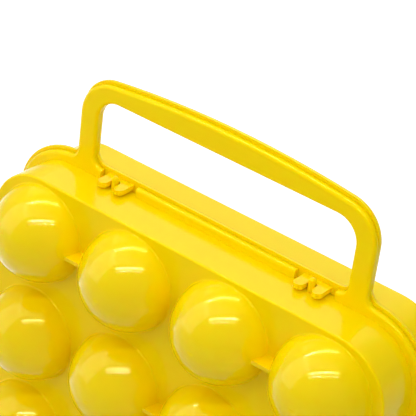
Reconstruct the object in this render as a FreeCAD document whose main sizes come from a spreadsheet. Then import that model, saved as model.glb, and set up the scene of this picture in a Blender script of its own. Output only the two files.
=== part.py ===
"""Carrier for a dozen eggs: two moulded shells with cups, hinged opposite a split carrying handle.

Frame: X across the columns, -Y towards the shell that opens, Z up, origin on the ground under the middle.
The shells meet at an upright plane set back from the middle, because the front cups are the deep ones.
The hinge runs along X at the lower edge of that plane. Each piece is drawn with the plane at y = 0, and
then set back.
"""
import FreeCAD, Part
import math
import os

import Sketcher
from FreeCAD import Placement, Rotation, Vector

# Driving sizes in millimetres, and counts.
SIZES = {
    # The grid of eggs.
    "columns": 4,
    "rows": 3,
    "column_pitch": 48.0,
    "row_pitch": 50.0,
    # Each front cup is a hemisphere whose centre lies a little behind the panel's face.
    "cup_radius": 21.55,
    "cup_sink": 1.25,
    # Each rear seat is a shallow dish that takes the other end of the egg.
    "seat_radius": 24.0,
    "seat_bulge": 6.0,
    "cup_foot_round": 0.8,
    "wall": 1.6,
    # The tray that carries the cups: a straight band round a flat panel.
    "shell_depth": 21.55,
    "side_margin": 26.9,
    "end_margin": 23.95,
    "tray_corner": 24.0,
    "tray_edge_round": 0.8,
    "parting_gap": 0.2,
    # The flange at the parting plane, along both sides and the top, and the handle arch that stands on it.
    # The rear rim stands proud of the front one as a lip to open the carrier by.
    "flange_reach": 5.5,
    "lip": 1.6,
    "flange_thickness": 2.4,
    "flange_round": 1.4,
    "flange_end_round": 3.0,
    "handle_half_width": 72.7,
    "handle_leg": 9.0,
    "handle_rise": 48.05,
    "handle_grip": 12.2,
    "handle_crown_radius": 465.0,
    "handle_corner": 16.5,
    "handle_inner_corner": 10.0,
    "hand_hole_round": 1.4,
    "flare_radius": 5.0,
    "inner_flare_radius": 4.5,
    # Webs that tie neighbouring cups together at the height of their centres.
    "web_thickness": 1.8,
    "web_reach": 7.6,
    "web_width": 10.0,
    # Snap closures: a forked tongue on the rear shell holds a peg on the front shell.
    "clip_offset": 49.6,
    "clip_notch": 19.0,
    "fork_width": 13.0,
    "fork_slot": 4.0,
    "fork_reach": 8.7,
    "fork_thickness": 2.2,
    "fork_lift": 1.1,
    "peg_radius": 1.5,
    "peg_setback": 4.2,
    "peg_height": 6.2,
    # The hinge: three knuckles and a pin on each side of the middle.
    "hinge_offset": 58.0,
    "hinge_drop": 2.3,
    "barrel_radius": 1.9,
    "pin_radius": 0.9,
    "pin_clearance": 0.05,
    "middle_knuckle": 10.0,
    "end_knuckle": 8.0,
    "knuckle_gap": 0.3,
}

# Sizes and places that follow from the driving sizes.
PLACES = {
    "parting_plane": "(cup_radius - cup_sink - seat_bulge) / 2",
    "half_gap": "parting_gap / 2",
    "hinge_height": "barrel_radius",
    "band_bottom": "hinge_height + hinge_drop",
    "first_row": "band_bottom + end_margin",
    "last_row": "first_row + (rows - 1) * row_pitch",
    "band_top": "last_row + end_margin",
    "first_column": "-(columns - 1) * column_pitch / 2",
    "half_width": "side_margin - first_column",
    "panel_inside": "shell_depth - wall",
    "seat_in_panel": "shell_depth - wall / 2",
    "seat_in_top": "band_top - wall / 2",
    "seat_in_bottom": "band_bottom + wall / 2",
    "seat_in_flange": "flange_thickness / 2",
    "cavity_half_width": "half_width - wall",
    "cavity_bottom": "band_bottom + wall",
    "cavity_top": "band_top - wall",
    "cavity_corner": "tray_corner - wall",
    "cup_centre": "shell_depth - cup_sink",
    "cup_inner_radius": "cup_radius - wall",
    "seat_centre": "shell_depth + seat_bulge - seat_radius",
    "seat_inner_radius": "seat_radius - wall",
    "cup_mouth": "panel_inside - wall",
    "front_reach": "flange_reach - lip",
    "front_flange_top": "band_top + front_reach",
    "front_flange_half_width": "half_width + front_reach",
    "front_flange_corner": "tray_corner + front_reach",
    "rear_flange_top": "band_top + flange_reach",
    "rear_flange_half_width": "half_width + flange_reach",
    "rear_flange_corner": "tray_corner + flange_reach",
    "flange_foot": "band_bottom + tray_corner + flange_end_round",
    "flange_corner_height": "band_top - tray_corner",
    "handle_top": "band_top + handle_rise",
    "rear_crown_drop": "handle_crown_radius - handle_top",
    "front_crown_drop": "rear_crown_drop + lip",
    "grip_bottom": "handle_top - handle_grip",
    "handle_inner_half_width": "handle_half_width - handle_leg",
    "web_half_width": "web_width / 2",
    "web_front": "shell_depth + web_reach",
    "notch_half_width": "clip_notch / 2",
    "notch_top": "front_flange_top + wall",
    "fork_half_width": "fork_width / 2",
    "fork_slot_radius": "fork_slot / 2",
    "fork_tip_centre": "fork_reach - (fork_width - fork_slot) / 4",
    "peg_shoulder": "band_top + peg_height - peg_radius",
    "bore_radius": "pin_radius + pin_clearance",
    "knuckle_step": "(middle_knuckle + end_knuckle) / 2 + knuckle_gap",
    "pin_length": "middle_knuckle + 2 * (end_knuckle + knuckle_gap)",
}

FRONT, REAR = -1, 1
SHELL_NAMES = {FRONT: "front", REAR: "rear"}
FIRST_EGG = {"x": "Sizes.first_column", "z": "Sizes.first_row"}
START, END, CENTRE = range(1, 4)
ORIGIN = (-1, 1)
UPRIGHT = -2
QUARTER = math.pi / 2
NEAR = 0.01

doc = FreeCAD.newDocument("egg_carrier")


def make_sheet():
    """Write the sizes, and the places that follow from them, to the document's sheet."""
    table = doc.addObject("Spreadsheet::Sheet", "Sizes")
    row = 0
    for alias, value in SIZES.items():
        row += 1
        table.set(f"A{row}", alias)
        table.set(f"B{row}", str(value))
        table.setAlias(f"B{row}", alias)
    for alias, formula in PLACES.items():
        row += 1
        table.set(f"A{row}", alias)
        table.set(f"B{row}", f"={formula}")
        table.setAlias(f"B{row}", alias)
    doc.recompute()
    return table


sheet = make_sheet()


def number(alias):
    """Return a size or place as the sheet has it."""
    return float(sheet.get(alias))


def origin_feature(body, role):
    """Return the body's own origin plane or axis with that role."""
    return next(item for item in body.Origin.OriginFeatures if item.Role == role)


class Profile:
    """A closed sketch of lines and arcs on an origin plane, with every dimension tied to the sheet."""

    def __init__(self, body, name, plane, **offset):
        self.sketch = body.newObject("Sketcher::SketchObject", name)
        self.sketch.AttachmentSupport = [(origin_feature(body, plane), "")]
        self.sketch.MapMode = "FlatFace"
        for axis, formula in offset.items():
            self.sketch.setExpression(f"AttachmentOffset.Base.{axis}", formula)

    def line(self, start, end):
        return self.sketch.addGeometry(Part.LineSegment(Vector(*start, 0), Vector(*end, 0)), False)

    def arc(self, centre, radius, first_angle, last_angle):
        circle = Part.Circle(Vector(*centre, 0), Vector(0, 0, 1), radius)
        return self.sketch.addGeometry(Part.ArcOfCircle(circle, first_angle, last_angle), False)

    def circle(self, centre, radius):
        return self.sketch.addGeometry(Part.Circle(Vector(*centre, 0), Vector(0, 0, 1), radius), False)

    def rule(self, kind, *items):
        return self.sketch.addConstraint(Sketcher.Constraint(kind, *items))

    def size(self, alias, kind, *items):
        """Add a dimension that takes its value, and its name, from the sheet."""
        index = self.rule(kind, *items, number(alias))
        name = f"{alias}_{index}"
        self.sketch.renameConstraint(index, name)
        self.sketch.setExpression(f"Constraints.{name}", f"Sizes.{alias}")

    def reach(self, alias, kind, side, geometry, point):
        """Dimension a point's distance from the origin along one sketch axis, on the given side of it."""
        ends = [ORIGIN, (geometry, point)]
        if side < 0:
            ends.reverse()
        self.size(alias, kind, *ends[0], *ends[1])

    def width(self, alias, side, geometry, point):
        self.reach(alias, "DistanceX", side, geometry, point)

    def height(self, alias, side, geometry, point):
        self.reach(alias, "DistanceY", side, geometry, point)


def draw_plate(profile, half_width, bottom, top, corner, foot_corner):
    """Draw an upright rounded rectangle, symmetric about the middle."""
    w, low, high, r, f = (number(alias) for alias in (half_width, bottom, top, corner, foot_corner))
    base = profile.line((f - w, low), (w - f, low))
    low_right = profile.arc((w - f, low + f), f, -QUARTER, 0)
    right = profile.line((w, low + f), (w, high - r))
    high_right = profile.arc((w - r, high - r), r, 0, QUARTER)
    crest = profile.line((w - r, high), (r - w, high))
    high_left = profile.arc((r - w, high - r), r, QUARTER, 2 * QUARTER)
    left = profile.line((-w, high - r), (-w, low + f))
    low_left = profile.arc((f - w, low + f), f, 2 * QUARTER, 3 * QUARTER)
    ring = [base, low_right, right, high_right, crest, high_left, left, low_left]
    for first, second in zip(ring, ring[1:] + ring[:1]):
        profile.rule("Tangent", first, END, second, START)
    profile.rule("Symmetric", base, START, base, END, UPRIGHT)
    profile.rule("Vertical", right)
    profile.rule("Horizontal", crest)
    profile.rule("Vertical", left)
    profile.rule("Equal", low_right, low_left)
    profile.rule("Equal", high_right, high_left)
    profile.width(half_width, 1, right, START)
    profile.height(bottom, 1, base, START)
    profile.height(top, 1, crest, START)
    profile.size(corner, "Radius", high_right)
    if foot_corner == corner:
        profile.rule("Equal", high_right, low_right)
    else:
        profile.size(foot_corner, "Radius", low_right)


def draw_rim(profile, shell):
    """Draw the outline of a shell's flange and the handle arch that stands on it, and the hand hole."""
    half_width = f"{shell}_flange_half_width"
    corner = f"{shell}_flange_corner"
    crown_drop = f"{shell}_crown_drop"
    w, low, high = number(half_width), number("flange_foot"), number(f"{shell}_flange_top")
    r, end_r = number(corner), number("flange_end_round")
    leg, flare = number("handle_half_width"), number("flare_radius")
    corner_r, crown_r = number("handle_corner"), number("handle_crown_radius")
    crown_z = -number(crown_drop)
    corner_z = crown_z + math.sqrt((crown_r - corner_r) ** 2 - (leg - corner_r) ** 2)
    turn = math.atan2(corner_z - crown_z, leg - corner_r)
    reach = leg + flare - (w - r)
    flare_z = high - r + math.sqrt((r + flare) ** 2 - reach ** 2)
    slope = math.asin(reach / (r + flare))

    base = profile.line((end_r - w, low), (w - end_r, low))
    end_right = profile.arc((w - end_r, low + end_r), end_r, -QUARTER, 0)
    side_right = profile.line((w, low + end_r), (w, high - r))
    corner_right = profile.arc((w - r, high - r), r, 0, QUARTER - slope)
    flare_right = profile.arc((leg + flare, flare_z), flare, 2 * QUARTER, 3 * QUARTER - slope)
    leg_right = profile.line((leg, flare_z), (leg, corner_z))
    bend_right = profile.arc((leg - corner_r, corner_z), corner_r, 0, turn)
    crown = profile.arc((0, crown_z), crown_r, turn, 2 * QUARTER - turn)
    bend_left = profile.arc((corner_r - leg, corner_z), corner_r, 2 * QUARTER - turn, 2 * QUARTER)
    leg_left = profile.line((-leg, corner_z), (-leg, flare_z))
    flare_left = profile.arc((-leg - flare, flare_z), flare, 3 * QUARTER + slope, 4 * QUARTER)
    corner_left = profile.arc((r - w, high - r), r, QUARTER + slope, 2 * QUARTER)
    side_left = profile.line((-w, high - r), (-w, low + end_r))
    end_left = profile.arc((end_r - w, low + end_r), end_r, 2 * QUARTER, 3 * QUARTER)

    right_run = [base, end_right, side_right, corner_right]
    handle_run = [leg_right, bend_right, crown, bend_left, leg_left]
    left_run = [corner_left, side_left, end_left, base]
    for run in (right_run, handle_run, left_run):
        for first, second in zip(run, run[1:]):
            profile.rule("Tangent", first, END, second, START)
    profile.rule("Tangent", corner_right, END, flare_right, END)
    profile.rule("Tangent", flare_right, START, leg_right, START)
    profile.rule("Tangent", leg_left, END, flare_left, END)
    profile.rule("Tangent", flare_left, START, corner_left, START)
    for upright in (side_right, side_left, leg_right, leg_left):
        profile.rule("Vertical", upright)
    for first, second in ((end_right, end_left), (corner_right, corner_left), (flare_right, flare_left),
                          (bend_right, bend_left)):
        profile.rule("Equal", first, second)
    profile.rule("Symmetric", base, START, base, END, UPRIGHT)
    profile.rule("Symmetric", leg_right, START, leg_left, END, UPRIGHT)
    profile.rule("PointOnObject", crown, CENTRE, UPRIGHT)
    profile.width(half_width, 1, side_right, START)
    profile.height("flange_foot", 1, base, START)
    profile.height("flange_corner_height", 1, corner_right, CENTRE)
    profile.size(corner, "Radius", corner_right)
    profile.size("flange_end_round", "Radius", end_right)
    profile.size("flare_radius", "Radius", flare_right)
    profile.width("handle_half_width", 1, leg_right, START)
    profile.size("handle_corner", "Radius", bend_right)
    profile.size("handle_crown_radius", "Radius", crown)
    profile.height(crown_drop, -1, crown, CENTRE)

    draw_plate(profile, "handle_inner_half_width", f"{shell}_flange_top", "grip_bottom",
               "handle_inner_corner", "inner_flare_radius")


def draw_block(profile, half_width, near, far, side):
    """Draw a rectangle, symmetric about the middle, between two distances on one side of the origin."""
    w, low, high = number(half_width), side * number(near), side * number(far)
    base = profile.line((-w, low), (w, low))
    right = profile.line((w, low), (w, high))
    crest = profile.line((w, high), (-w, high))
    left = profile.line((-w, high), (-w, low))
    ring = [base, right, crest, left]
    for first, second in zip(ring, ring[1:] + ring[:1]):
        profile.rule("Coincident", first, END, second, START)
    profile.rule("Symmetric", base, START, base, END, UPRIGHT)
    profile.rule("Vertical", right)
    profile.rule("Horizontal", crest)
    profile.rule("Vertical", left)
    profile.width(half_width, 1, base, END)
    profile.height(near, side, base, END)
    profile.height(far, side, crest, START)


def draw_cup(profile, kind, side):
    """Draw half a cup's outer section: its dome, the hollow round at its foot and a root in the panel."""
    radius, centre = f"{kind}_radius", f"{kind}_centre"
    r, foot_r, middle = number(radius), number("cup_foot_round"), side * number(centre)
    face, root = side * number("shell_depth"), side * number("seat_in_panel")
    rise = number("shell_depth") + foot_r - number(centre)
    across = math.sqrt((r + foot_r) ** 2 - rise ** 2)
    lean = math.asin(rise / (r + foot_r))
    if side < 0:
        dome = profile.arc((0, middle), r, -QUARTER, -lean)
        foot = profile.arc((across, face - foot_r), foot_r, QUARTER, 2 * QUARTER - lean)
        tip, low, panel_end, dome_end = START, END, START, END
    else:
        dome = profile.arc((0, middle), r, lean, QUARTER)
        foot = profile.arc((across, face + foot_r), foot_r, 2 * QUARTER + lean, 3 * QUARTER)
        tip, low, panel_end, dome_end = END, START, END, START
    skirt = profile.line((across, face), (across, root))
    floor = profile.line((across, root), (0, root))
    axis = profile.line((0, root), (0, middle + side * r))
    profile.rule("Tangent", dome, low, foot, dome_end)
    profile.rule("Coincident", foot, panel_end, skirt, START)
    profile.rule("Coincident", skirt, END, floor, START)
    profile.rule("Coincident", floor, END, axis, START)
    profile.rule("Coincident", axis, END, dome, tip)
    profile.rule("Vertical", foot, CENTRE, skirt, START)
    profile.rule("Vertical", skirt)
    profile.rule("Horizontal", floor)
    profile.rule("Vertical", axis)
    profile.rule("PointOnObject", axis, START, UPRIGHT)
    profile.rule("PointOnObject", dome, CENTRE, UPRIGHT)
    profile.size(radius, "Radius", dome)
    profile.size("cup_foot_round", "Radius", foot)
    profile.height(centre, side, dome, CENTRE)
    profile.height("shell_depth", side, skirt, START)
    profile.height("seat_in_panel", side, floor, START)


def draw_cup_hollow(profile, kind, side):
    """Draw half a cup's inner section, from its tip to a mouth clear of the panel."""
    radius, centre = f"{kind}_inner_radius", f"{kind}_centre"
    r, middle, mouth = number(radius), number(centre), number("cup_mouth")
    across = math.sqrt(r ** 2 - (mouth - middle) ** 2)
    lean = math.asin((mouth - middle) / r)
    if side < 0:
        dome = profile.arc((0, -middle), r, -QUARTER, -lean)
        tip, low = START, END
    else:
        dome = profile.arc((0, middle), r, lean, QUARTER)
        tip, low = END, START
    floor = profile.line((across, side * mouth), (0, side * mouth))
    axis = profile.line((0, side * mouth), (0, side * (middle + r)))
    profile.rule("Coincident", dome, low, floor, START)
    profile.rule("Coincident", floor, END, axis, START)
    profile.rule("Coincident", axis, END, dome, tip)
    profile.rule("Horizontal", floor)
    profile.rule("Vertical", axis)
    profile.rule("PointOnObject", axis, START, UPRIGHT)
    profile.rule("PointOnObject", dome, CENTRE, UPRIGHT)
    profile.size(radius, "Radius", dome)
    profile.height(centre, side, dome, CENTRE)
    profile.height("cup_mouth", side, floor, START)


def draw_fork(profile):
    """Draw the snap tongue from above: two round-ended prongs on either side of a round-ended slot."""
    w, slot = number("fork_half_width"), number("fork_slot_radius")
    root, tip, middle = number("seat_in_flange"), -number("fork_tip_centre"), -number("peg_setback")
    prong = (w - slot) / 2
    left_outer = profile.line((-w, root), (-w, tip))
    left_tip = profile.arc((prong - w, tip), prong, 2 * QUARTER, 4 * QUARTER)
    left_inner = profile.line((-slot, tip), (-slot, middle))
    slot_end = profile.arc((0, middle), slot, 0, 2 * QUARTER)
    right_inner = profile.line((slot, middle), (slot, tip))
    right_tip = profile.arc((w - prong, tip), prong, 2 * QUARTER, 4 * QUARTER)
    right_outer = profile.line((w, tip), (w, root))
    base = profile.line((w, root), (-w, root))
    profile.rule("Tangent", left_outer, END, left_tip, START)
    profile.rule("Tangent", left_tip, END, left_inner, START)
    profile.rule("Tangent", left_inner, END, slot_end, END)
    profile.rule("Tangent", slot_end, START, right_inner, START)
    profile.rule("Tangent", right_inner, END, right_tip, START)
    profile.rule("Tangent", right_tip, END, right_outer, START)
    profile.rule("Coincident", right_outer, END, base, START)
    profile.rule("Coincident", base, END, left_outer, START)
    for upright in (left_outer, left_inner, right_inner, right_outer):
        profile.rule("Vertical", upright)
    profile.rule("Symmetric", base, START, base, END, UPRIGHT)
    profile.rule("PointOnObject", slot_end, CENTRE, UPRIGHT)
    profile.rule("Horizontal", left_tip, CENTRE, right_tip, CENTRE)
    profile.width("fork_half_width", 1, base, START)
    profile.size("fork_slot_radius", "Radius", slot_end)
    profile.height("seat_in_flange", 1, base, START)
    profile.height("fork_tip_centre", -1, right_tip, CENTRE)
    profile.height("peg_setback", -1, slot_end, CENTRE)


def draw_peg(profile):
    """Draw half the peg's section, with a domed top."""
    r, low, shoulder = number("peg_radius"), number("seat_in_top"), number("peg_shoulder")
    base = profile.line((0, low), (r, low))
    side = profile.line((r, low), (r, shoulder))
    dome = profile.arc((0, shoulder), r, 0, QUARTER)
    axis = profile.line((0, shoulder + r), (0, low))
    profile.rule("Coincident", base, END, side, START)
    profile.rule("Tangent", side, END, dome, START)
    profile.rule("Coincident", dome, END, axis, START)
    profile.rule("Coincident", axis, END, base, START)
    profile.rule("Horizontal", base)
    profile.rule("Vertical", side)
    profile.rule("Vertical", axis)
    profile.rule("PointOnObject", axis, START, UPRIGHT)
    profile.rule("PointOnObject", dome, CENTRE, UPRIGHT)
    profile.size("peg_radius", "Radius", dome)
    profile.height("seat_in_top", 1, base, START)
    profile.height("peg_shoulder", 1, dome, CENTRE)


def draw_knuckle(profile, side):
    """Draw a hinge knuckle from its end: a bored barrel and the web that joins it to the band."""
    r, gap, top = number("barrel_radius"), number("half_gap"), number("seat_in_bottom")
    lean = math.asin(gap / r)
    neck = r + math.sqrt(r * r - gap * gap)
    if side < 0:
        barrel = profile.arc((0, r), r, -2 * QUARTER, QUARTER + lean)
        outer_end, inner_end = START, END
    else:
        barrel = profile.arc((0, r), r, QUARTER - lean, 4 * QUARTER)
        outer_end, inner_end = END, START
    outer = profile.line((side * r, r), (side * r, top))
    crest = profile.line((side * r, top), (side * gap, top))
    inner = profile.line((side * gap, top), (side * gap, neck))
    bore = profile.circle((0, r), number("bore_radius"))
    profile.rule("Tangent", barrel, outer_end, outer, START)
    profile.rule("Coincident", outer, END, crest, START)
    profile.rule("Coincident", crest, END, inner, START)
    profile.rule("Coincident", inner, END, barrel, inner_end)
    profile.rule("Vertical", outer)
    profile.rule("Horizontal", crest)
    profile.rule("Vertical", inner)
    profile.rule("PointOnObject", barrel, CENTRE, UPRIGHT)
    profile.rule("Coincident", bore, CENTRE, barrel, CENTRE)
    profile.size("barrel_radius", "Radius", barrel)
    profile.size("bore_radius", "Radius", bore)
    profile.width("half_gap", side, inner, END)
    profile.height("hinge_height", 1, barrel, CENTRE)
    profile.height("seat_in_bottom", 1, crest, START)


def add_pad(body, name, profile, length, reverse=False):
    """Extrude a profile along its sketch's normal, or against it."""
    pad = body.newObject("PartDesign::Pad", name)
    pad.Profile = profile.sketch
    pad.Reversed = reverse
    pad.setExpression("Length", length)
    return pad


def add_pocket(body, name, profile, length, reverse=False):
    """Cut a profile against its sketch's normal, or along it."""
    pocket = body.newObject("PartDesign::Pocket", name)
    pocket.Profile = profile.sketch
    pocket.Reversed = reverse
    pocket.setExpression("Length", length)
    return pocket


def add_turned(body, kind, name, profile):
    """Revolve a profile about its sketch's upright axis, to add to the body or to cut it."""
    turned = body.newObject(f"PartDesign::{kind}", name)
    turned.Profile = profile.sketch
    turned.ReferenceAxis = (profile.sketch, ["V_Axis"])
    turned.Angle = 360
    return turned


def add_fillet(body, name, base, radius, wanted):
    """Round the edges of a feature that pass the test."""
    doc.recompute()
    edges = [f"Edge{count}" for count, edge in enumerate(base.Shape.Edges, 1) if wanted(edge)]
    fillet = body.newObject("PartDesign::Fillet", name)
    fillet.Base = (base, edges)
    fillet.setExpression("Radius", f"Sizes.{radius}")
    return fillet


def repeat_over_grid(body, name, feature):
    """Repeat a feature at the first egg's place over all columns and rows."""
    pattern = body.newObject("PartDesign::LinearPattern", name)
    pattern.Originals = [feature]
    pattern.Direction = (origin_feature(body, "X_Axis"), [""])
    pattern.Mode = "Extent"
    pattern.setExpression("Length", "-2 * Sizes.first_column")
    pattern.setExpression("Occurrences", "Sizes.columns")
    pattern.Direction2 = (origin_feature(body, "Z_Axis"), [""])
    pattern.Mode2 = "Extent"
    pattern.setExpression("Length2", "Sizes.last_row - Sizes.first_row")
    pattern.setExpression("Occurrences2", "Sizes.rows")
    body.Tip = pattern


def mirror_across_middle(body, name, features):
    """Repeat features on the other side of the carrier's middle."""
    mirror = body.newObject("PartDesign::Mirrored", name)
    mirror.Originals = features
    mirror.MirrorPlane = (origin_feature(body, "YZ_Plane"), [""])
    body.Tip = mirror


def middle_of(edge):
    """Return the point half-way along an edge."""
    return edge.valueAt((edge.FirstParameter + edge.LastParameter) / 2)


def lies_at(edge, level):
    """Tell whether an edge lies in the plane at that distance along Y."""
    points = [vertex.Point for vertex in edge.Vertexes] + [middle_of(edge)]
    return all(abs(point.y - level) < NEAR for point in points)


def outside_tray(edge):
    """Tell whether an edge's middle lies outside the tray's rounded outline."""
    point = middle_of(edge)
    corner = number("tray_corner")
    across = max(abs(point.x) - number("half_width") + corner, 0)
    above = point.z - number("band_top") + corner
    below = number("band_bottom") + corner - point.z
    return math.hypot(across, max(above, below, 0)) > corner + NEAR


def round_hand_hole(edge, bottom):
    """Tell whether an edge's middle lies on the outline of the hand hole above that height."""
    point = middle_of(edge)
    inside = abs(point.x) < number("handle_inner_half_width") + NEAR
    return inside and bottom - NEAR < point.z < number("grip_bottom") + NEAR


def make_tray(body, side):
    """Make the solid tray with its flange and handle half."""
    rear = side > 0
    shell = SHELL_NAMES[side]
    parting = f"{-side} * Sizes.half_gap"

    outline = Profile(body, "tray_outline", "XZ_Plane", z=parting)
    draw_plate(outline, "half_width", "band_bottom", "band_top", "tray_corner", "tray_corner")
    tray = add_pad(body, "tray", outline, "Sizes.shell_depth - Sizes.half_gap", rear)
    depth = side * number("shell_depth")
    add_fillet(body, "tray_edge", tray, "tray_edge_round", lambda edge: lies_at(edge, depth))

    rim = Profile(body, "rim_outline", "XZ_Plane", z=parting)
    draw_rim(rim, shell)
    flange = add_pad(body, "flange", rim, "Sizes.flange_thickness - Sizes.half_gap", rear)
    face = side * number("flange_thickness")
    bottom = number(f"{shell}_flange_top")
    outer = add_fillet(body, "flange_edge", flange, "flange_round", lambda edge: lies_at(edge, face)
                       and outside_tray(edge) and not round_hand_hole(edge, bottom))
    add_fillet(body, "hand_hole_edge", outer, "hand_hole_round",
               lambda edge: lies_at(edge, face) and round_hand_hole(edge, bottom))


def add_cups(body, kind, side):
    """Add the solid cups over the whole grid."""
    section = Profile(body, f"{kind}_section", "XY_Plane", **FIRST_EGG)
    draw_cup(section, kind, side)
    repeat_over_grid(body, f"{kind}s", add_turned(body, "Revolution", kind, section))


def add_webs(body, side):
    """Tie neighbouring cups together, every second pair in a row and the other pairs in the next."""
    for row in range(int(number("rows"))):
        for gap in range(row % 2, int(number("columns")) - 1, 2):
            place = {"x": f"Sizes.first_column + Sizes.column_pitch * ({gap} + 1 / 2)",
                     "z": f"Sizes.last_row - Sizes.row_pitch * {row} - Sizes.web_thickness / 2"}
            plan = Profile(body, f"web_plan_{row}_{gap}", "XY_Plane", **place)
            draw_block(plan, "web_half_width", "seat_in_panel", "web_front", side)
            add_pad(body, f"web_{row}_{gap}", plan, "Sizes.web_thickness")


def hollow_out(body, kind, side):
    """Cut the tray and every cup to an even wall."""
    inside = Profile(body, "cavity_outline", "XZ_Plane", z=f"{-side} * Sizes.half_gap")
    draw_plate(inside, "cavity_half_width", "cavity_bottom", "cavity_top", "cavity_corner", "cavity_corner")
    add_pocket(body, "cavity", inside, "Sizes.panel_inside - Sizes.half_gap", side < 0)

    section = Profile(body, f"{kind}_hollow_section", "XY_Plane", **FIRST_EGG)
    draw_cup_hollow(section, kind, side)
    repeat_over_grid(body, f"{kind}_hollows", add_turned(body, "Groove", f"{kind}_hollow", section))


def add_knuckle(body, name, side, middle, length):
    """Add one knuckle of the hinge, centred at a place along X."""
    end = Profile(body, f"{name}_end", "YZ_Plane", z=f"{middle} - {length} / 2")
    draw_knuckle(end, side)
    return add_pad(body, name, end, length)


def make_front_shell():
    """Make the shell that opens: deep cups, notched flange, pegs and the middle knuckles."""
    body = doc.addObject("PartDesign::Body", "front_shell")
    make_tray(body, FRONT)
    add_cups(body, "cup", FRONT)
    add_webs(body, FRONT)
    hollow_out(body, "cup", FRONT)

    opening = Profile(body, "notch_outline", "XZ_Plane", x="Sizes.clip_offset")
    draw_block(opening, "notch_half_width", "band_top", "notch_top", 1)
    notch = add_pocket(body, "notch", opening, "Sizes.shell_depth", True)

    section = Profile(body, "peg_section", "XZ_Plane", x="Sizes.clip_offset", z="Sizes.peg_setback")
    draw_peg(section)
    peg = add_turned(body, "Revolution", "peg", section)

    knuckle = add_knuckle(body, "knuckle", FRONT, "Sizes.hinge_offset", "Sizes.middle_knuckle")
    mirror_across_middle(body, "other_side", [notch, peg, knuckle])
    return body


def make_rear_shell():
    """Make the shell that stays: shallow seats, forked tongues and the end knuckles."""
    body = doc.addObject("PartDesign::Body", "rear_shell")
    make_tray(body, REAR)
    add_cups(body, "seat", REAR)
    hollow_out(body, "seat", REAR)

    plan = Profile(body, "fork_plan", "XY_Plane", x="Sizes.clip_offset",
                   z="Sizes.band_top + Sizes.fork_lift")
    draw_fork(plan)
    fork = add_pad(body, "fork", plan, "Sizes.fork_thickness")

    inner = add_knuckle(body, "inner_knuckle", REAR, "Sizes.hinge_offset - Sizes.knuckle_step",
                        "Sizes.end_knuckle")
    outer = add_knuckle(body, "outer_knuckle", REAR, "Sizes.hinge_offset + Sizes.knuckle_step",
                        "Sizes.end_knuckle")
    mirror_across_middle(body, "other_side", [fork, inner, outer])
    return body


def make_pin(name, hand):
    """Make one hinge pin, as long as its three knuckles together."""
    pin = doc.addObject("Part::Cylinder", name)
    pin.setExpression("Radius", "Sizes.pin_radius")
    pin.setExpression("Height", "Sizes.pin_length")
    pin.Placement = Placement(Vector(0, 0, 0), Rotation(Vector(0, 1, 0), 90))
    pin.setExpression("Placement.Base.x", f"{hand} * Sizes.hinge_offset - Sizes.pin_length / 2")
    pin.setExpression("Placement.Base.z", "Sizes.hinge_height")
    return pin


def check_document(pieces):
    """Stop if any object failed or any piece is not one sound solid."""
    for item in doc.Objects:
        if "Invalid" in item.State or "Error" in item.State:
            raise RuntimeError(f"{item.Name} failed: {item.State}")
    for piece in pieces:
        shape = piece.Shape
        if shape.isNull() or not shape.isValid() or len(shape.Solids) != 1:
            raise RuntimeError(f"{piece.Name} is not one sound solid")


def main():
    pieces = [make_rear_shell(), make_front_shell(), make_pin("hinge_pin_left", -1),
              make_pin("hinge_pin_right", 1)]
    for piece in pieces:
        piece.Label = piece.Name
        piece.setExpression("Placement.Base.y", "Sizes.parting_plane")
    doc.recompute()
    check_document(pieces)
    os.makedirs("parts", exist_ok=True)
    for piece in pieces:
        piece.Shape.exportStep(f"parts/{piece.Label}.step")
        box = piece.Shape.BoundBox
        print(f"{piece.Label}: volume {piece.Shape.Volume:.1f} mm3, from ({box.XMin:.2f}, {box.YMin:.2f}, "
              f"{box.ZMin:.2f}) to ({box.XMax:.2f}, {box.YMax:.2f}, {box.ZMax:.2f})")


main()
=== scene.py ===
import math
from typing import NamedTuple

import bmesh
import bpy
from bpy.props import FloatProperty, FloatVectorProperty, PointerProperty
from mathutils import Matrix, Vector


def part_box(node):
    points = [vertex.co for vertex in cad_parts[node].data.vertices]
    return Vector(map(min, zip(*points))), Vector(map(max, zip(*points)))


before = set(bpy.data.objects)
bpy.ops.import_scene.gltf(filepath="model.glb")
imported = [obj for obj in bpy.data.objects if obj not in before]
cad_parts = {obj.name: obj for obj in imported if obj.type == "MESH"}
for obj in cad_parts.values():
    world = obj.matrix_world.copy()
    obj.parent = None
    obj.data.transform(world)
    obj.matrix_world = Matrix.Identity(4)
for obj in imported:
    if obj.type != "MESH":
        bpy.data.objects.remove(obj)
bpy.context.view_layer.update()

bl_info = {
    "name": "Egg carrier",
    "version": (1, 0, 0),
    "blender": (4, 5, 0),
    "location": "View3D > Sidebar > Egg carrier",
    "description": "Finishes for a hinged egg carrier, and a light tent to show it in",
    "category": "Object",
}

SHELLS = ("rear_shell", "front_shell")
PINS = ("hinge_pin_left", "hinge_pin_right")

# The plane where the shells meet, through the middle of the hinge pins.
PIN_LOW, PIN_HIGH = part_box(PINS[0])
PARTING = (PIN_LOW.y + PIN_HIGH.y) / 2

# Plastic: its refractive index and that of its clear gloss, and the fine scuffs that change its roughness.
PLASTIC_IOR = 1.42
GLOSS_IOR = 1.5
SCUFFS_PER_METRE = 420.0
SCUFF_SWING = 0.05

# Drawn wire: its lines per metre along X, Y and Z, the change of roughness, the duller colour between the
# lines as a share of the full one, and the depth of the lines in metres.
WIRE_LINES = (40.0, 3000.0, 3000.0)
WIRE_SWING = 0.18
WIRE_DULL = 0.8
WIRE_DEPTH = 0.000004

# The value about which a noise texture swings.
NOISE_MIDDLE = 0.5

# Sockets of a Mix node that is set to colours, where several share one name.
MIX_SHARE, MIX_FIRST, MIX_SECOND = 0, 6, 7
MIX_RESULT = 2

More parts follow.
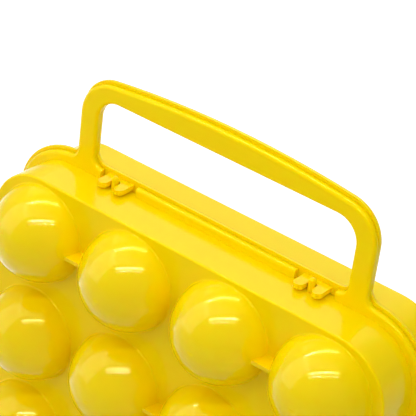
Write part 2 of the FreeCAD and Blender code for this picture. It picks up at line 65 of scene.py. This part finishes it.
# Floor: a disc so wide, in metres, that its edge stays out of the picture in low views too.
FLOOR_RADIUS = 30.0
FLOOR_SIDES = 96
FLOOR_ROUGHNESS = 0.9

# Camera: its axes, its place measured from the parting plane, and the width of its sensor in millimetres.
CAMERA_RIGHT = Vector((0.7769, 0.6194, 0.1129))
CAMERA_UP = Vector((-0.3951, 0.3399, 0.8534))
CAMERA_BACK = Vector((0.4903, -0.7076, 0.5088))
CAMERA_PLACE = Vector((0.3344, -0.4904, 0.51465))
SENSOR_WIDTH = 36.0


class Lamp(NamedTuple):
    """A flat lamp of the tent: its centre, the point it faces, its size, and what it does to a surface.

    Lengths are in metres, places are measured from the parting plane, and the strength is in watts per
    square metre over pi.
    """

    centre: tuple
    aim: tuple
    width: float
    height: float
    strength: float
    lights: bool = True
    shows_in_gloss: bool = True


# The point that most lamps face, and the two long strips over the carrier: centre, aim, width and height.
MIDDLE = (0, 0, 0.1)
REAR_STRIP = ((-0.125, 0.020, 0.610), MIDDLE, 0.53, 0.012)
FRONT_STRIP = ((0.136, -0.299, 0.600), MIDDLE, 0.62, 0.012)

# The cards are bright and show only in the gloss. The fill is soft and doesn't show in it.
LAMPS = {
    "rear_strip": Lamp(*REAR_STRIP, 30.0),
    "front_strip": Lamp(*FRONT_STRIP, 34.5),
    "ceiling": Lamp((-0.10, 0.01, 0.68), (-0.04, -0.02, 0.1), 0.85, 0.72, 0.20),
    "left_wall": Lamp((-0.92, -0.77, 0.62), MIDDLE, 1.55, 0.95, 1.15),
    "back_panel": Lamp((-0.30, 0.48, 0.54), (-0.28, 0.44, 0), 0.90, 0.60, 0.85),
    "rear_card": Lamp(*REAR_STRIP, 72.0, lights=False),
    "front_card": Lamp(*FRONT_STRIP, 72.0, lights=False),
    "edge_card": Lamp((0.182, -0.357, 0.575), MIDDLE, 0.62, 0.006, 48.0, lights=False),
    "ceiling_card": Lamp((-0.02, -0.12, 0.66), (-0.02, -0.12, 0.1), 0.95, 0.36, 0.70, lights=False),
    "front_fill": Lamp((1.10, -1.00, 0.68), (0, 0, 0.08), 1.50, 1.00, 1.15, shows_in_gloss=False),
}


class Shade:
    """A shader socket that can stand in arithmetic: each operation adds a Math node to its tree."""

    def __init__(self, finish, socket):
        self.finish = finish
        self.socket = socket

    def _math(self, operation, first, second):
        return self.finish.node("ShaderNodeMath", {"operation": operation}, {0: first, 1: second})

    def __add__(self, other):
        return self._math("ADD", self, other)

    def __radd__(self, other):
        return self._math("ADD", other, self)

    def __sub__(self, other):
        return self._math("SUBTRACT", self, other)

    def __rsub__(self, other):
        return self._math("SUBTRACT", other, self)

    def __mul__(self, other):
        return self._math("MULTIPLY", self, other)

    def __rmul__(self, other):
        return self._math("MULTIPLY", other, self)


class Finish:
    """A procedural material being built, node by node."""

    def __init__(self, name):
        self.material = bpy.data.materials.new(name)
        self.material.use_nodes = True
        self.tree = self.material.node_tree
        self.tree.nodes.clear()

    def node(self, kind, settings=None, sockets=None, output=0):
        """Add a node, its settings first, then the values or links of its sockets, and give one output."""
        made = self.tree.nodes.new(kind)
        for key, value in (settings or {}).items():
            setattr(made, key, value)
        for key, value in (sockets or {}).items():
            if isinstance(value, Shade):
                self.tree.links.new(value.socket, made.inputs[key])
            else:
                made.inputs[key].default_value = value
        if made.outputs:
            return Shade(self, made.outputs[output])
        return None

    def blend(self, share, first, second):
        """Mix two colours by a share between 0 and 1."""
        sockets = {MIX_SHARE: share, MIX_FIRST: first, MIX_SECOND: second}
        settings = {"data_type": "RGBA", "clamp_factor": True}
        return self.node("ShaderNodeMix", settings, sockets, output=MIX_RESULT)

    def close(self, surface):
        """Join the surface to the material's output and give the finished material."""
        self.node("ShaderNodeOutputMaterial", None, {"Surface": surface})
        return self.material


class ShellLook(bpy.types.PropertyGroup):
    """What a user would change on the moulded shells."""

    colour: FloatVectorProperty(
        name="Plastic", description="Colour of the moulded plastic",
        subtype="COLOR", size=4, min=0, max=1, default=(0.97, 0.70, 0.0, 1))
    deep_colour: FloatVectorProperty(
        name="Denser pigment", description="Colour where the pigment flowed thicker",
        subtype="COLOR", size=4, min=0, max=1, default=(0.95, 0.67, 0.0, 1))
    gloss_tint: FloatVectorProperty(
        name="Gloss tint", description="Colour of the gloss seen square on",
        subtype="COLOR", size=4, min=0, max=1, default=(1.0, 0.85, 0.08, 1))
    glow: FloatProperty(
        name="Glow", description="Share of the light that spreads inside the plastic",
        subtype="FACTOR", min=0, max=1, default=0.6)
    glow_reach: FloatVectorProperty(
        name="Glow reach", description="How far red, green and blue light spread inside the plastic",
        subtype="XYZ_LENGTH", unit="LENGTH", size=3, min=0, default=(0.0016, 0.0008, 0.0001), precision=4)
    roughness: FloatProperty(
        name="Roughness", description="Roughness of the satin flats and edges",
        subtype="FACTOR", min=0, max=1, default=0.17)
    cup_roughness: FloatProperty(
        name="Cup roughness", description="Roughness of the cups under their clear gloss",
        subtype="FACTOR", min=0, max=1, default=0.12)
    polish: FloatProperty(
        name="Polish", description="Clear gloss of the cups",
        subtype="FACTOR", min=0, max=1, default=0.45)
    polish_roughness: FloatProperty(
        name="Polish roughness", description="Roughness of the clear gloss of the cups",
        subtype="FACTOR", min=0, max=1, default=0.06)
    polish_from: FloatProperty(
        name="Polish from", description="Distance from the parting plane where the polish begins",
        subtype="DISTANCE", unit="LENGTH", min=0, default=0.026, precision=4)
    polish_blend: FloatProperty(
        name="Polish blend", description="Distance over which the polish of the cups sets in",
        subtype="DISTANCE", unit="LENGTH", min=0.0001, default=0.008, precision=4)
    cloud_size: FloatProperty(
        name="Cloud size", description="Size of the clouds in the pigment",
        subtype="DISTANCE", unit="LENGTH", min=0.001, default=0.035)
    peel_size: FloatProperty(
        name="Peel size", description="Size of the faint waves of the moulded surface",
        subtype="DISTANCE", unit="LENGTH", min=0.0005, default=0.012)
    peel_depth: FloatProperty(
        name="Peel depth", description="Depth of the faint waves of the moulded surface",
        subtype="DISTANCE", unit="LENGTH", min=0, default=0.00002, precision=6)


class PinLook(bpy.types.PropertyGroup):
    """What a user would change on the hinge pins."""

    colour: FloatVectorProperty(
        name="Steel", description="Colour of the drawn steel wire",
        subtype="COLOR", size=4, min=0, max=1, default=(0.56, 0.57, 0.58, 1))
    roughness: FloatProperty(
        name="Roughness", description="Roughness of the drawn steel wire",
        subtype="FACTOR", min=0, max=1, default=0.32)


class StageLook(bpy.types.PropertyGroup):
    """What a user would change on the stage."""

    floor_colour: FloatVectorProperty(
        name="Floor", description="Colour of the plain floor",
        subtype="COLOR", size=4, min=0, max=1, default=(0.56, 0.56, 0.56, 1))
    backdrop_colour: FloatVectorProperty(
        name="Backdrop", description="Colour that the floor turns to behind the carrier",
        subtype="COLOR", size=4, min=0, max=1, default=(0.9, 0.9, 0.9, 1))
    backdrop_from: FloatProperty(
        name="Backdrop from", description="Distance behind the origin where the floor starts to turn",
        subtype="DISTANCE", unit="LENGTH", default=-0.10)
    backdrop_to: FloatProperty(
        name="Backdrop to", description="Distance behind the origin where the floor is all backdrop",
        subtype="DISTANCE", unit="LENGTH", default=0.20)
    floor_glow: FloatProperty(
        name="Floor glow", description="What lifts the backdrop to white as the camera sees it",
        subtype="FACTOR", min=0, max=1, default=0.34)
    air_colour: FloatVectorProperty(
        name="Room", description="Colour of the room round the tent",
        subtype="COLOR", size=4, min=0, max=1, default=(0.40, 0.40, 0.40, 1))
    lens: FloatProperty(
        name="Lens", description="Focal length of the camera",
        subtype="DISTANCE_CAMERA", unit="CAMERA", min=1, default=152.35)


def make_plastic(name, look):
    """Moulded plastic: satin flats, polished cups, faint clouds in the pigment and slight waves."""
    finish = Finish(name)
    place = finish.node("ShaderNodeTexCoord", output="Object")
    cloud = finish.node("ShaderNodeTexNoise", None, {
        "Vector": place, "Scale": 1 / look.cloud_size, "Detail": 3.0, "Roughness": 0.55})
    scuff = finish.node("ShaderNodeTexNoise", None, {
        "Vector": place, "Scale": SCUFFS_PER_METRE, "Detail": 4.0, "Roughness": 0.7})
    peel = finish.node("ShaderNodeTexNoise", None, {
        "Vector": place, "Scale": 1 / look.peel_size, "Detail": 1.0})
    depth = PARTING - finish.node("ShaderNodeSeparateXYZ", None, {"Vector": place}, output="Y")
    cups = finish.node("ShaderNodeMapRange", {"interpolation_type": "SMOOTHSTEP"}, {
        "Value": depth, "From Min": look.polish_from, "From Max": look.polish_from + look.polish_blend})
    colour = finish.blend(cloud, look.colour, look.deep_colour)
    flats = look.roughness + SCUFF_SWING * (scuff - NOISE_MIDDLE)
    rough = flats + (look.cup_roughness - look.roughness) * cups
    waves = finish.node("ShaderNodeBump", None, {"Height": peel * look.peel_depth, "Distance": 1.0})
    skin = finish.node("ShaderNodeBsdfPrincipled", None, {
        "Base Color": colour, "Roughness": rough, "Normal": waves, "IOR": PLASTIC_IOR,
        "Coat Weight": cups * look.polish, "Coat Roughness": look.polish_roughness, "Coat IOR": GLOSS_IOR,
        "Specular Tint": look.gloss_tint, "Subsurface Weight": look.glow,
        "Subsurface Radius": look.glow_reach, "Subsurface Scale": 1.0})
    return finish.close(skin)


def make_steel(name, look):
    """Drawn steel wire: fine lines along its length."""
    finish = Finish(name)
    place = finish.node("ShaderNodeTexCoord", output="Object")
    along = finish.node("ShaderNodeMapping", None, {"Vector": place, "Scale": WIRE_LINES})
    lines = finish.node("ShaderNodeTexNoise", None, {"Vector": along, "Scale": 1.0, "Detail": 3.0})
    dull = tuple(WIRE_DULL * part for part in look.colour[:3]) + (1,)
    colour = finish.blend(lines, dull, look.colour)
    rough = look.roughness + WIRE_SWING * (lines - NOISE_MIDDLE)
    grooves = finish.node("ShaderNodeBump", None, {"Height": lines * WIRE_DEPTH, "Distance": 1.0})
    skin = finish.node("ShaderNodeBsdfPrincipled", None, {
        "Base Color": colour, "Metallic": 1.0, "Roughness": rough, "Normal": grooves})
    return finish.close(skin)


def make_paper(name, look):
    """Plain paper for the floor, which turns to a white backdrop behind the carrier."""
    finish = Finish(name)
    place = finish.node("ShaderNodeTexCoord", output="Object")
    away = Vector((-CAMERA_BACK.x, -CAMERA_BACK.y, 0)).normalized()
    behind = finish.node(
        "ShaderNodeVectorMath", {"operation": "DOT_PRODUCT"}, {0: place, 1: away}, output="Value")
    share = finish.node("ShaderNodeMapRange", {"interpolation_type": "SMOOTHSTEP"}, {
        "Value": behind, "From Min": look.backdrop_from, "From Max": look.backdrop_to})
    colour = finish.blend(share, look.floor_colour, look.backdrop_colour)
    camera = finish.node("ShaderNodeLightPath", output="Is Camera Ray")
    gloss = finish.node("ShaderNodeLightPath", output="Is Glossy Ray")
    through = finish.node("ShaderNodeLightPath", output="Is Transmission Ray")
    seen = share * (camera + gloss + through)
    paper = finish.node("ShaderNodeBsdfPrincipled", None, {
        "Base Color": colour, "Roughness": FLOOR_ROUGHNESS, "Specular IOR Level": 0.0,
        "Emission Color": finish.node("ShaderNodeCombineColor", None, {0: seen, 1: seen, 2: seen}),
        "Emission Strength": look.floor_glow})
    return finish.close(paper)


def wear(node, material):
    """Give a node of the frame one material all over."""
    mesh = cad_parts[node].data
    mesh.materials.clear()
    mesh.materials.append(material)


class EGG_OT_shells(bpy.types.Operator):
    """Finish the two moulded shells"""

    bl_idname = "egg.shells"
    bl_label = "Shells"

    def execute(self, context):
        plastic = make_plastic("moulded_plastic", context.scene.egg_shells)
        for node in SHELLS:
            wear(node, plastic)
        return {"FINISHED"}


class EGG_OT_pins(bpy.types.Operator):
    """Finish the two hinge pins"""

    bl_idname = "egg.pins"
    bl_label = "Hinge pins"

    def execute(self, context):
        steel = make_steel("drawn_steel", context.scene.egg_pins)
        for node in PINS:
            wear(node, steel)
        return {"FINISHED"}


def add_object(name, data):
    """Add an object that holds this data to the scene, at the origin."""
    made = bpy.data.objects.new(name, data)
    bpy.context.scene.collection.objects.link(made)
    return made


def from_parting(place):
    """Turn a place measured from the parting plane into one in the frame."""
    return Vector(place) + Vector((0, PARTING, 0))


def stand(thing, place, right, up, back):
    """Set a lamp or a camera at a place, turned to these axes."""
    turn = Matrix((right, up, back)).transposed()
    thing.matrix_world = Matrix.Translation(place) @ turn.to_4x4()


def hang(name, lamp):
    """Hang a lamp of the tent, with its width along the camera's own."""
    data = bpy.data.lights.new(name, "AREA")
    data.shape = "RECTANGLE"
    data.size = lamp.width
    data.size_y = lamp.height
    data.energy = lamp.strength * math.pi * lamp.width * lamp.height
    hung = add_object(name, data)
    hung.visible_diffuse = lamp.lights
    hung.visible_glossy = lamp.shows_in_gloss
    centre = from_parting(lamp.centre)
    back = (centre - from_parting(lamp.aim)).normalized()
    across = (CAMERA_RIGHT - back * CAMERA_RIGHT.dot(back)).normalized()
    stand(hung, centre, across, back.cross(across), back)


class EGG_OT_stage(bpy.types.Operator):
    """Set up the floor, the light tent and the camera"""

    bl_idname = "egg.stage"
    bl_label = "Stage"

    def execute(self, context):
        look = context.scene.egg_stage
        self.lay_floor(look)
        self.light_room(look)
        self.set_camera(look)
        context.scene.view_settings.view_transform = "Standard"
        return {"FINISHED"}

    def lay_floor(self, look):
        shape = bmesh.new()
        bmesh.ops.create_circle(
            shape, cap_ends=True, cap_tris=False, segments=FLOOR_SIDES, radius=FLOOR_RADIUS)
        mesh = bpy.data.meshes.new("floor")
        shape.to_mesh(mesh)
        shape.free()
        floor = add_object("floor", mesh)
        mesh.materials.append(make_paper("floor_paper", look))

    def light_room(self, look):
        world = bpy.data.worlds.new("room")
        world.use_nodes = True
        world.node_tree.nodes["Background"].inputs["Color"].default_value = look.air_colour
        bpy.context.scene.world = world
        for name, lamp in LAMPS.items():
            hang(name, lamp)

    def set_camera(self, look):
        data = bpy.data.cameras.new("camera")
        data.sensor_width = SENSOR_WIDTH
        data.lens = look.lens
        camera = add_object("camera", data)
        stand(camera, from_parting(CAMERA_PLACE), CAMERA_RIGHT, CAMERA_UP, CAMERA_BACK)
        bpy.context.scene.camera = camera


class EGG_PT_panel(bpy.types.Panel):
    """The carrier's own tab in the sidebar"""

    bl_idname = "EGG_PT_panel"
    bl_label = "Egg carrier"
    bl_space_type = "VIEW_3D"
    bl_region_type = "UI"
    bl_category = "Egg carrier"

    def draw(self, context):
        for look, group, operator in LOOKS:
            box = self.layout.box()
            for key in group.__annotations__:
                box.prop(getattr(context.scene, look), key)
            box.operator(operator)


# Each group of properties: the name the scene keeps it under, its class, and the operator that reads it.
LOOKS = (
    ("egg_shells", ShellLook, "egg.shells"),
    ("egg_pins", PinLook, "egg.pins"),
    ("egg_stage", StageLook, "egg.stage"),
)
CLASSES = (ShellLook, PinLook, StageLook, EGG_OT_shells, EGG_OT_pins, EGG_OT_stage, EGG_PT_panel)


def register():
    for kind in CLASSES:
        bpy.utils.register_class(kind)
    for look, group, _operator in LOOKS:
        setattr(bpy.types.Scene, look, PointerProperty(type=group))


def unregister():
    for look, _group, _operator in LOOKS:
        delattr(bpy.types.Scene, look)
    for kind in reversed(CLASSES):
        bpy.utils.unregister_class(kind)


def main():
    register()
    bpy.ops.egg.shells()
    bpy.ops.egg.pins()
    bpy.ops.egg.stage()


if __name__ == "__main__":
    main()
